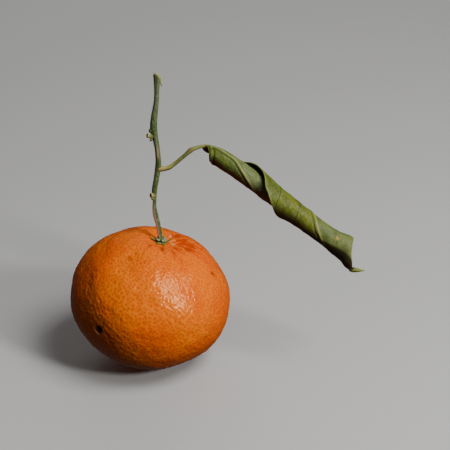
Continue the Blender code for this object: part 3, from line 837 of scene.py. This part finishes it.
def grow_twig():
    plane = leaning_frame(twig_foot(), TWIG_LEAN_BACK)
    twig = roll_stem("twig_shoot", plane, TWIG, TWIG_RINGS, TWIG_SIDES, bark_relief)
    scars = [grow_scar(twig, plane, *scar) for scar in BRANCH_SCARS]
    buds = [grow_bud(twig, plane, *bud) for bud in BUDS]
    dry_buds = [buds[i] for i in DRY_BUDS]
    cuts = cut_end(twig, plane)
    hang_shred(twig, plane)
    back = plane.inverted()
    rows = [bark_values(vert.co, back @ vert.co, scars, dry_buds, cuts) for vert in twig.data.vertices]
    keep_values(twig, ("dry_ring", "dry_hollow", "tan_strip", "grey_top", "green_side"), rows)
    select_only(twig)
    bpy.ops.object.shade_smooth_by_angle(angle=BARK_SMOOTH_ANGLE)
    return twig


def bark_finish():
    finish = Finish("twig_bark", 0.55, 0.4, BARK_GREEN)
    along = finish.place(BARK_STRETCH, (TWIG_LEAN_BACK, 0, 0))
    close = finish.place()
    finish.lay(BARK_OLIVE, finish.patches(along, 0.8 * MM))
    finish.lay(BARK_FRESH, finish.kept("green_side"), 0.6)
    finish.lay(BARK_GREY, finish.kept("grey_top"), 0.55)
    finish.lay(BARK_GREY, finish.patches(along, 0.45 * MM, 0.54, 0.62), 0.8)
    finish.lay(BARK_SPECK, finish.patches(close, 0.45 * MM, 0.60, 0.66), 0.9)
    finish.lay(BARK_GREEN, finish.patches(close, 0.7 * MM, 0.60, 0.68), 0.7)
    finish.lay(BARK_TAN, finish.kept("tan_strip"), 0.9)
    finish.lay(DRY_RING, finish.kept("dry_ring"))
    finish.lay(DRY_HOLLOW, finish.kept("dry_hollow"))
    finish.bump(finish.grain(along, 0.22 * MM), 0.16 * MM)
    return finish.done()


twig = grow_twig()
twig.data.materials.append(bark_finish())
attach(twig, "root")
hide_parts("twig")

# The leaf stalk: a short tough petiole, channelled on top, that grows from the twig's right side. It
# swells and turns yellow-pink where it joins the twig and again at its joint with the leaf.
# Painted light and shade: the stalk is yellower on its upward faces and browner on its downward ones.
STALK_NODE_HEIGHT = 26.5 * MM
LEAF_LEAN_BACK = math.radians(27)
# Across and up in the leaf's leaning plane from the twig's middle, and radius.
STALK = [in_mm(*station) for station in (
    (0.3, 0.0, 1.15), (1.8, 0.0, 1.00), (2.9, 0.1, 0.85), (4.4, 0.6, 0.82), (5.7, 1.5, 0.74),
    (8.2, 3.5, 0.72), (10.4, 5.4, 0.76), (11.9, 6.7, 0.92), (12.6, 7.1, 0.88),
)]
STALK_RINGS = 130
STALK_SIDES = 36
CHANNEL_TURN = math.radians(160)
CHANNEL_DEPTH = 0.22 * MM
CHANNEL_EDGES = 0.10 * MM
STALK_ROUGHNESS = 0.07 * MM
STALK_GREEN = (0.130, 0.155, 0.022, 1)
STALK_YELLOW = (0.38, 0.34, 0.075, 1)
STALK_PINK = (0.46, 0.30, 0.12, 1)
STALK_SHADE_AND_JOINT = (0.075, 0.045, 0.012, 1)


def stalk_relief(height, turn):
    """The channel on top between two rounded edges, and small knobs."""
    top = angle_between(turn, CHANNEL_TURN)
    channel = -CHANNEL_DEPTH * bell(top, 0.42)
    edges = CHANNEL_EDGES * bell(abs(top) - 0.85, 0.3)
    around = Vector((math.cos(turn), math.sin(turn), height / (1.5 * MM)))
    middle = max(0.0, 1 - abs(height - 3.2 * MM) / (3.6 * MM))
    return (channel + edges) * middle + STALK_ROUGHNESS * noise.noise(around * 2)


def stalk_plane():
    place = Vector((across_at(STALK_NODE_HEIGHT), STALK_NODE_HEIGHT, 0))
    return leaning_frame(leaning_frame(twig_foot(), TWIG_LEAN_BACK) @ place, LEAF_LEAN_BACK)


def stalk_values(local, normal):
    """How much a point is yellow, pink and brown: yellow on upward faces is painted light, brown on downward
    faces painted shade.
    """
    from_twig = local.x / MM
    to_joint = (12.6 * MM - local.x) / MM
    up = normal.y * 0.2 + normal.z
    pink = min(1, bell(from_twig, 3.0, 4) + 0.8 * bell(to_joint, 1.3))
    # Painted light: yellow near the twig, laid only on upward faces where light falls.
    yellow = max(0, min(1, 0.5 + up)) * bell(from_twig - 3, 4)
    # Painted shade on downward faces, plus the stalk's own dark ring at the leaf joint.
    brown = max(0, min(1, -0.2 - 1.2 * up)) + bell(to_joint - 0.5, 0.25) * 0.6
    return yellow, pink, min(1, brown)


def grow_stalk():
    plane = stalk_plane()
    stalk = roll_stem("leaf_petiole", plane, STALK, STALK_RINGS, STALK_SIDES, stalk_relief)
    back = plane.inverted()
    rows = [stalk_values(back @ vert.co, vert.normal) for vert in stalk.data.vertices]
    keep_values(stalk, ("yellow_lit_top", "pink_end", "shaded_underside_and_joint"), rows)
    return stalk


def stalk_finish():
    finish = Finish("stalk_skin", 0.5, 0.4, STALK_GREEN)
    place = finish.place((0.4, 1, 0.6))
    finish.lay(BARK_OLIVE, finish.patches(place, 0.7 * MM))
    # Painted light: yellow on the upward faces near the twig.
    finish.lay(STALK_YELLOW, finish.kept("yellow_lit_top"), 0.8)
    finish.lay(STALK_PINK, finish.kept("pink_end"), 0.6)
    # Painted shade on the downward faces, and the stalk's own dark ring at the leaf joint.
    finish.lay(STALK_SHADE_AND_JOINT, finish.kept("shaded_underside_and_joint"), 0.75)
    finish.bump(finish.grain(place, 0.2 * MM), 0.08 * MM)
    return finish.done()


stalk = grow_stalk()
stalk.data.materials.append(stalk_finish())
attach(stalk, "root")
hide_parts("leaf_stalk")

# The leaf: one blade, dried and rolled up on its slant like a paper straw with its pale underside out.
# The midrib winds round the roll, side veins leave it at a slant, and the margin is a thin pale line.
LEAF_AXIS_DROP = math.radians(37.4)
LEAF_THICKNESS = 0.38 * MM
LEAF_LENGTH = 73.4 * MM
LEAF_ROWS = 300
LEAF_COLUMNS = 110
BLADE_START = in_mm(17.1, 8.7)
TURN_RADIUS = 3.6 * MM
VEIN_ANGLE = math.radians(30)
LAYER_PITCH = 1.0 * MM
FLARE_START = 0.5
# Along the midrib: where it is on the roll in degrees, and the blade's outer and inner half width.
MIDRIB_TURNS = [(along * MM, turn) for along, turn in (
    (0, 0), (5, 42), (12, 54), (15.6, 82), (25.9, 160), (44.8, 358), (50.2, 446), (53.6, 482), (57.3, 520),
    (64, 552), (66.5, 540), (69.5, 480), (73.4, 452),
)]
OUTER_HALF = [in_mm(*station) for station in (
    (0, 0.7), (1.5, 1.3), (3.4, 2.8), (5.2, 4.2), (10.6, 9.6), (17, 12.6), (24, 14.2), (30, 14.4),
    (34, 14.85), (36, 14.3), (38, 13.8), (40, 13.4), (43, 13.5), (50, 12.9), (56.5, 9), (62, 4.4),
    (66, 1.9), (68.5, 1.1), (70, 1.35), (71.5, 1.35), (73.4, 0.3),
)]
INNER_HALF = [in_mm(*station) for station in (
    (0, 0.7), (2.2, 3), (10.5, 10.1), (20, 13), (41, 15), (56.7, 12.3), (58, 10.8), (59, 9.6), (60, 8.6),
    (62.1, 7.3), (64, 6.6), (66, 5.7), (67.5, 4.1), (69, 2.3), (70, 1.6), (71, 1.1), (73.4, 0.3),
)]
# Along the roll: its radius and how far its axis sags. Along the margin: how far it flares out.
TUBE_RADII = [in_mm(*station) for station in (
    (0, 1.9), (1.3, 2.2), (4.6, 3), (8, 3.3), (17, 3.4), (35, 3.6), (50, 3.75), (57, 4.1), (63, 5),
    (67, 4.4), (80, 4.4),
)]
AXIS_SAG = [in_mm(*station) for station in (
    (0, 2.5), (1.3, 2.2), (4.6, 1.1), (8, 0.7), (17, 0.1), (50, -0.1), (58, -0.4), (63.5, -0.95),
    (67.5, 0.7), (69.5, 2.4), (71.5, 2.3), (73.4, 1.7),
)]
MARGIN_FLARE = [in_mm(*station) for station in (
    (14, 0), (24, 0.9), (30, 1.4), (34, 2.4), (38, 2.7), (42, 1.4), (50, 0),
)]
# The midrib comes out of the stalk as a foot, and sinks into the blade.
RIB_FOOT = [in_mm(*station) for station in (
    (12.5, 7.05, 0.70), (12.95, 7.25, 0.80), (14.6, 7.8, 0.68), (16.3, 8.2, 0.60),
)]
RIB_JOIN = in_mm(1.0, 2.5, 4.0)
RIB_RADIUS = 0.5 * MM
RIB_FOOT_PLACE = in_mm(3, 0.42, 3)
# The first curl of the blade behind the rib, by its share from left to right: place across, height of
# its arched edge, and how far it hangs down.
FOLD_ACROSS = ((0.0, 16.2 * MM), (0.5, 17.5 * MM), (1.0, 18.8 * MM))
FOLD_ARCH = ((0.0, 7.85 * MM), (0.3, 8.40 * MM), (0.55, 8.55 * MM), (0.8, 8.30 * MM), (1.0, 7.75 * MM))
FOLD_DROP = ((0.0, 0.7 * MM), (0.3, 2.0 * MM), (0.6, 2.6 * MM), (1.0, 2.4 * MM))
FOLD_DEPTH = 1.6 * MM
FOLD_THICKNESS = 0.30 * MM
FOLD_PLACE = in_mm(3, 3, 1)
# The blade's first margin is rolled over to a thin bead: how far from its edge, height, width, reach.
BEAD_PLACE = 0.75 * MM
BEAD_HEIGHT = 0.42 * MM
BEAD_WIDTH = 0.55 * MM
BEAD_GROOVE = 1.9 * MM
BEAD_END = 12.0 * MM
MIDRIB_RAISE = 0.36 * MM
MIDRIB_WIDTH = 0.50 * MM
MIDRIB_FULL = 5.0 * MM
MIDRIB_FADE = 0.6
CREASE_PLACE = 0.95 * MM
CREASE_DEPTH = 0.34 * MM
CREASE_WIDTH = 0.36 * MM
SIDE_VEIN_PITCH = 6.2 * MM
SIDE_VEIN_SHIFTS = (0.31, 0.74)
SIDE_VEIN_SLANT = 0.9
SIDE_VEIN_BEND = 0.018 / MM
SIDE_VEIN_RAISE = 0.07 * MM
SIDE_VEIN_WIDTH = 0.28 * MM
LEAF_GREEN = (0.120, 0.158, 0.013, 1)
LEAF_YELLOW = (0.195, 0.205, 0.008, 1)
LEAF_GREY = (0.185, 0.225, 0.070, 1)
LEAF_DARK = (0.030, 0.046, 0.005, 1)
LEAF_RIB = (0.34, 0.35, 0.09, 1)
LEAF_EDGE = (0.31, 0.32, 0.06, 1)
LEAF_BLEMISH = (0.52, 0.30, 0.045, 1)
LEAF_PAINTED_SHADE = (0.018, 0.009, 0.003, 1)
LEAF_TOP = (0.030, 0.040, 0.008, 1)
LEAF_TOP_BROWN = (0.050, 0.024, 0.008, 1)
# The yellow blemish near the leaf's end: along the midrib and aside, in millimetres.
BLEMISH_PLACE = (56.0, -5.4, 7.3)
# Painted shade on the roll's lower side: from where to where it fades in, in degrees from the roll's top.
# Past a place along the midrib it has a sharp edge, which climbs, and it ends where the tip begins.
PAINTED_SHADE_ANGLES = (102, 142)
SHADE_EDGE_START = 48.0 * MM
SHADE_EDGE = (128, 54 * MM, 2.2, 9)
TIP_START = 70.2 * MM


def side_vein_place(along, side):
    """How far along the midrib the side vein through this place leaves it."""
    out = abs(side)
    return along - SIDE_VEIN_SLANT * out - SIDE_VEIN_BEND * out**2


def leaf_relief(along, side, edge):
    """Ribs, side veins, puckers and crinkles, as height on the underside."""
    full = min(1, along / MIDRIB_FULL) * (1 - MIDRIB_FADE * along / LEAF_LENGTH)
    height = full * MIDRIB_RAISE * bell(side, MIDRIB_WIDTH)
    height -= full * CREASE_DEPTH * bell(side - CREASE_PLACE, CREASE_WIDTH)
    turn = side_vein_place(along, side) / SIDE_VEIN_PITCH + SIDE_VEIN_SHIFTS[side < 0]
    off_vein = abs(turn % 1 - 0.5) * SIDE_VEIN_PITCH * 0.74
    inside = min(1, edge / (2 * MM)) * min(1, abs(side) / (1.5 * MM))
    height += SIDE_VEIN_RAISE * inside * bell(off_vein, SIDE_VEIN_WIDTH)
    height -= 0.02 * MM * inside * math.cos(math.tau * turn)
    place = Vector((along, side, 0)) / MM
    crinkle = noise.noise(Vector((place.x / 6.0, place.y / 3.0, 1.0)))
    fine = noise.noise(Vector((place.x / 1.7, place.y / 1.3, 4.0)))
    height += (0.11 * crinkle + 0.045 * fine) * MM * min(1, along / MIDRIB_FULL)
    if side > 0:
        near = bell(edge, 2.4 * MM) * bell(along - 10 * MM, 8 * MM, 4)
        height += 0.10 * MM * near * math.sin(place.x / 0.42 + 2.0 * crinkle)
        reach = min(1, along / (2.5 * MM)) * bell(along, BEAD_END, 6)
        height += BEAD_HEIGHT * reach * bell(edge - BEAD_PLACE, BEAD_WIDTH)
        height -= BEAD_HEIGHT * reach * bell(edge - BEAD_GROOVE, BEAD_WIDTH)
    return height


def leaf_point(along, side, edge):
    """A point of the blade's outer face in the roll's frame, at a signed distance from the midrib."""
    across = side * math.cos(VEIN_ANGLE)
    place = along - side * math.sin(VEIN_ANGLE)
    turn = math.radians(smooth_value(MIDRIB_TURNS, along)) + across / TURN_RADIUS
    midrib_turn = math.radians(smooth_value(MIDRIB_TURNS, place))
    radius = smooth_value(TUBE_RADII, place)
    radius += LAYER_PITCH * (turn - midrib_turn) / math.tau
    radius += leaf_relief(along, side, edge)
    share = side / smooth_value(OUTER_HALF, along)
    if share > FLARE_START:
        lift = (share - FLARE_START) / (1 - FLARE_START)
        radius += smooth_value(MARGIN_FLARE, along) * lift**2
    sag = smooth_value(AXIS_SAG, place)
    return Vector((place, radius * math.cos(turn) - sag, radius * math.sin(turn)))


def painted_low_shade(along, side, point):
    """0 on the roll's upper and front face, 1 underneath, where shade is painted dark brown."""
    under = math.degrees(math.atan2(point.z, point.y + smooth_value(AXIS_SAG, point.x)))
    start, end = PAINTED_SHADE_ANGLES
    if along > SHADE_EDGE_START and side < 0:
        level, at, climb, width = SHADE_EDGE
        start = level - climb * (point.x - at) / MM
        end = start + width
    fade = max(0.0, min(1, (TIP_START - point.x) / (0.6 * MM)))
    return fade * max(0.0, min(1, (abs(under) - start) / (end - start)))


def roll_frame(stalk):
    """x down the roll's axis, y to the top of the tube, z to its front, from the blade's start."""
    start = stalk @ Vector((*BLADE_START, 0))
    along = stalk.to_3x3() @ Vector((math.cos(LEAF_AXIS_DROP), -math.sin(LEAF_AXIS_DROP), 0))
    front = stalk.to_3x3() @ Vector((0, 0, 1))
    turn = Matrix((along, front.cross(along), front)).transposed().to_4x4()
    return Matrix.Translation(start) @ turn @ Matrix.Translation(-leaf_point(0, 0, 0))


def keep_places(piece, places, painted_shade_values):
    """Kept at each point: along, aside and from the margin in millimetres, and the painted shade on the
    roll's lower side.
    """
    attribute = piece.data.attributes.new("leaf_place", "FLOAT_VECTOR", "POINT")
    attribute.data.foreach_set("vector", [value / MM for place in places for value in place])
    keep_values(piece, ("painted_low_shade",), zip(painted_shade_values))


def thicken(piece, thickness, offset):
    """Gives the sheet its thickness, with the leaf's underside on one face and on the rim."""
    shell = piece.modifiers.new("leaf_thickness", "SOLIDIFY")
    shell.thickness = thickness
    shell.offset = offset
    shell.material_offset = 1
    shell.material_offset_rim = 1
    bpy.ops.object.modifier_apply(modifier=shell.name)
    bpy.ops.object.shade_smooth()


def grow_blade(roll, finishes):
    """The blade itself, a flat grid wound into the roll."""
    blade = add_sheet("rolled_leaf", LEAF_ROWS, LEAF_COLUMNS)
    places = []
    painted_shade_values = []
    for vert in blade.data.vertices:
        along = LEAF_LENGTH * (vert.co.x + 1) / 2
        half = smooth_value(OUTER_HALF if vert.co.y > 0 else INNER_HALF, along)
        side = vert.co.y * half
        edge = half - abs(side)
        places.append((along, side, edge))
        point = leaf_point(along, side, edge)
        painted_shade_values.append(painted_low_shade(along, side, point))
        vert.co = roll @ point
    keep_places(blade, places, painted_shade_values)
    for finish in finishes:
        blade.data.materials.append(finish)
    thicken(blade, LEAF_THICKNESS, 1)
    return blade


def grow_rib_foot(stalk, roll, underside):
    """The midrib between the stalk and the blade."""
    back = stalk.inverted()
    inward = Vector((0, -LEAF_THICKNESS / 2, 0))
    stations = list(RIB_FOOT)
    for along in RIB_JOIN:
        joined = back @ (roll @ (leaf_point(along, 0, MM) + inward))
        stations.append((joined.x, joined.y, RIB_RADIUS))
    foot = roll_stem("rib_foot", stalk, stations, 60, 24, lambda height, turn: 0.0)
    count = len(foot.data.vertices)
    keep_places(foot, [RIB_FOOT_PLACE] * count, [0.0] * count)
    foot.data.materials.append(underside)
    return foot


def grow_base_fold(stalk, finishes):
    """The blade's first curl behind the rib: a thin arched edge over a dark hollow."""
    fold = add_sheet("base_fold", 48, 20)
    for vert in fold.data.vertices:
        share = (vert.co.x + 1) / 2
        down = (1 - vert.co.y) / 2
        high = smooth_value(FOLD_ARCH, share) - smooth_value(FOLD_DROP, share) * down
        deep = -FOLD_DEPTH * math.sin(down * math.pi / 2)
        vert.co = stalk @ Vector((smooth_value(FOLD_ACROSS, share), high, deep))
    count = len(fold.data.vertices)
    keep_places(fold, [FOLD_PLACE] * count, [0.0] * count)
    for finish in finishes:
        fold.data.materials.append(finish)
    thicken(fold, FOLD_THICKNESS, -1)
    return fold


def lay_side_veins(finish, place, along, side, out):
    """Thin dark lines on the outer half, over the raised side veins, worn away here and there."""
    bend = finish.maths("MULTIPLY_ADD", out, SIDE_VEIN_BEND * MM, SIDE_VEIN_SLANT)
    leaves = finish.maths("SUBTRACT", along, finish.maths("MULTIPLY", bend, out))
    left_half = finish.maths("LESS_THAN", side, 0.0)
    shift_step = SIDE_VEIN_SHIFTS[1] - SIDE_VEIN_SHIFTS[0]
    shift = finish.maths("MULTIPLY_ADD", left_half, shift_step, SIDE_VEIN_SHIFTS[0])
    turn = finish.maths("MULTIPLY_ADD", leaves, MM / SIDE_VEIN_PITCH, shift)
    saw = finish.maths("WRAP", turn, 2.0, 0.0)
    off = finish.maths("ABSOLUTE", finish.maths("SUBTRACT", saw, 0.5))
    vein = finish.maths("MULTIPLY", finish.spread(off, 0.060, 0.022), finish.spread(side, 0.2, 1.5))
    vein = finish.maths("MULTIPLY", vein, finish.patches(place, 6.0, 0.32, 0.50))
    finish.lay(LEAF_DARK, vein, 0.8)


def underside_finish():
    finish = Finish("leaf_underside", 0.5, 0.28, LEAF_GREY)
    place = finish.kept("leaf_place", "Vector")
    along, side, edge = finish.node("SeparateXYZ", {0: place}).outputs
    out = finish.maths("ABSOLUTE", side)
    finish.lay(LEAF_GREEN, finish.spread(side, -0.5, 1.5))
    finish.lay(LEAF_YELLOW, finish.spread(along, 30, 44), 0.75)
    finish.lay(LEAF_GREY, finish.spread(side, 0.5, -0.8), 0.7)
    finish.lay(LEAF_DARK, finish.patches(place, 4.0, 0.42, 0.62), 0.4)
    finish.lay(LEAF_GREY, finish.patches(place, 1.4, 0.48, 0.62), 0.4)
    finish.lay(LEAF_DARK, finish.patches(place, 0.9, 0.58, 0.70), 0.5)
    lay_side_veins(finish, place, along, side, out)
    net = finish.node("TexVoronoi", {"Vector": place, "Scale": 1 / 1.1}, feature="DISTANCE_TO_EDGE")
    threads = finish.spread(net.outputs[0], 0.09, 0.02)
    finish.lay(LEAF_DARK, threads, 0.3)
    finish.lay(LEAF_RIB, finish.spread(out, 0.60, 0.25), 0.75)
    # Painted shade: a dark line along the crease beside the midrib.
    from_crease = finish.maths("ABSOLUTE", finish.maths("SUBTRACT", side, CREASE_PLACE / MM))
    finish.lay(LEAF_DARK, finish.spread(from_crease, 0.32, 0.10), 0.7)
    finish.lay(LEAF_EDGE, finish.spread(edge, 0.45, 0.10), 0.8)
    # Painted shade on the roll's lower side, dark brown.
    finish.lay(LEAF_PAINTED_SHADE, finish.kept("painted_low_shade"), 0.85)
    down = finish.maths("MULTIPLY_ADD", side, -math.sin(VEIN_ANGLE), along)
    finish.lay(LEAF_EDGE, finish.spread(down, TIP_START / MM - 0.6, TIP_START / MM + 0.2), 0.6)
    away = finish.node("VectorMath", {0: place, 1: BLEMISH_PLACE}, operation="DISTANCE").outputs["Value"]
    finish.lay(LEAF_BLEMISH, finish.spread(away, 0.9, 0.35), 0.9)
    finish.bump(threads, 0.05 * MM)
    finish.bump(finish.grain(place, 0.35), 0.06 * MM)
    return finish.done()


def upperside_finish():
    finish = Finish("leaf_upperside", 0.5, 0.4, LEAF_TOP)
    place = finish.kept("leaf_place", "Vector")
    finish.lay(LEAF_TOP_BROWN, finish.patches(place, 3.0))
    finish.bump(finish.grain(place, 0.5), 0.06 * MM)
    return finish.done()


def grow_leaf():
    stalk = stalk_plane()
    roll = roll_frame(stalk)
    finishes = (upperside_finish(), underside_finish())
    leaf = grow_blade(roll, finishes)
    join_pieces(leaf, grow_rib_foot(stalk, roll, finishes[1]))
    join_pieces(leaf, grow_base_fold(stalk, finishes))
    return leaf


leaf = grow_leaf()
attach(leaf, "root")
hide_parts("leaf_blade")

# The table: a plain pale surface that the fruit lies on. It is part of the picture, not of the fruit,
# and throws no light back up, so the fruit's lower side stays dark.
TABLE_SIZE = 6.0
TABLE_PALE = (0.56, 0.555, 0.54, 1)
TABLE_GREY = (0.5, 0.5, 0.5, 1)


def table_finish():
    finish = Finish("pale_table", 0.6, 0.5, TABLE_PALE)
    finish.lay(TABLE_GREY, finish.patches(finish.place(), 2 * MM), 0.03)
    return finish.done()


table = add_piece("table_top", bpy.ops.mesh.primitive_plane_add, size=TABLE_SIZE)
table.data.materials.append(table_finish())
table.visible_diffuse = False
table.visible_glossy = False

# The light: a big soft lamp high on the right, a smaller one in front on the right that makes the
# shine on the peel, weak ones behind and on the left, in a dim room.
SCENE_MIDDLE = Vector((0.015, 0.0, 0.045))
ROOM_COLOUR = (0.9, 0.92, 0.95, 1)
ROOM_STRENGTH = 0.05


def hang_lamp(name, aim, distance, size, energy):
    """A square soft lamp that looks at the fruit from this direction; the new lamp."""
    light = bpy.data.lights.new(name, "AREA")
    light.size = size
    light.energy = energy
    lamp = bpy.data.objects.new(name, light)
    bpy.context.scene.collection.objects.link(lamp)
    lamp.location = SCENE_MIDDLE + aim.normalized() * distance
    lamp.rotation_euler = (-aim).to_track_quat("-Z", "Y").to_euler()
    return lamp


hang_lamp("high_lamp", Vector((0.46, -0.30, 0.84)), 0.8, 0.34, 4.9)
hang_lamp("front_lamp", Vector((0.66, -0.57, 0.50)), 0.8, 0.12, 3.7)
hang_lamp("back_lamp", Vector((-0.05, 0.9, 0.42)), 1.0, 0.8, 2.4).visible_glossy = False
hang_lamp("fill_lamp", Vector((-0.7, -0.6, 0.5)), 1.0, 0.7, 0.08)
room = bpy.data.worlds.new("pale_room")
room.use_nodes = True
room.node_tree.nodes["Background"].inputs["Color"].default_value = ROOM_COLOUR
room.node_tree.nodes["Background"].inputs["Strength"].default_value = ROOM_STRENGTH
bpy.context.scene.world = room

# The camera: where the picture was taken from, a little above, looking down at the fruit.
CAMERA_PLACE = in_mm(28.12, -407.347, 263.502)
CAMERA_TILT = math.radians(63)

camera_data = bpy.data.cameras.new("portrait_camera")
camera_data.lens = 100
camera_data.sensor_width = 36
camera = bpy.data.objects.new("portrait_camera", camera_data)
bpy.context.scene.collection.objects.link(camera)
camera.location = CAMERA_PLACE
camera.rotation_euler = (CAMERA_TILT, 0, 0)
bpy.context.scene.camera = camera
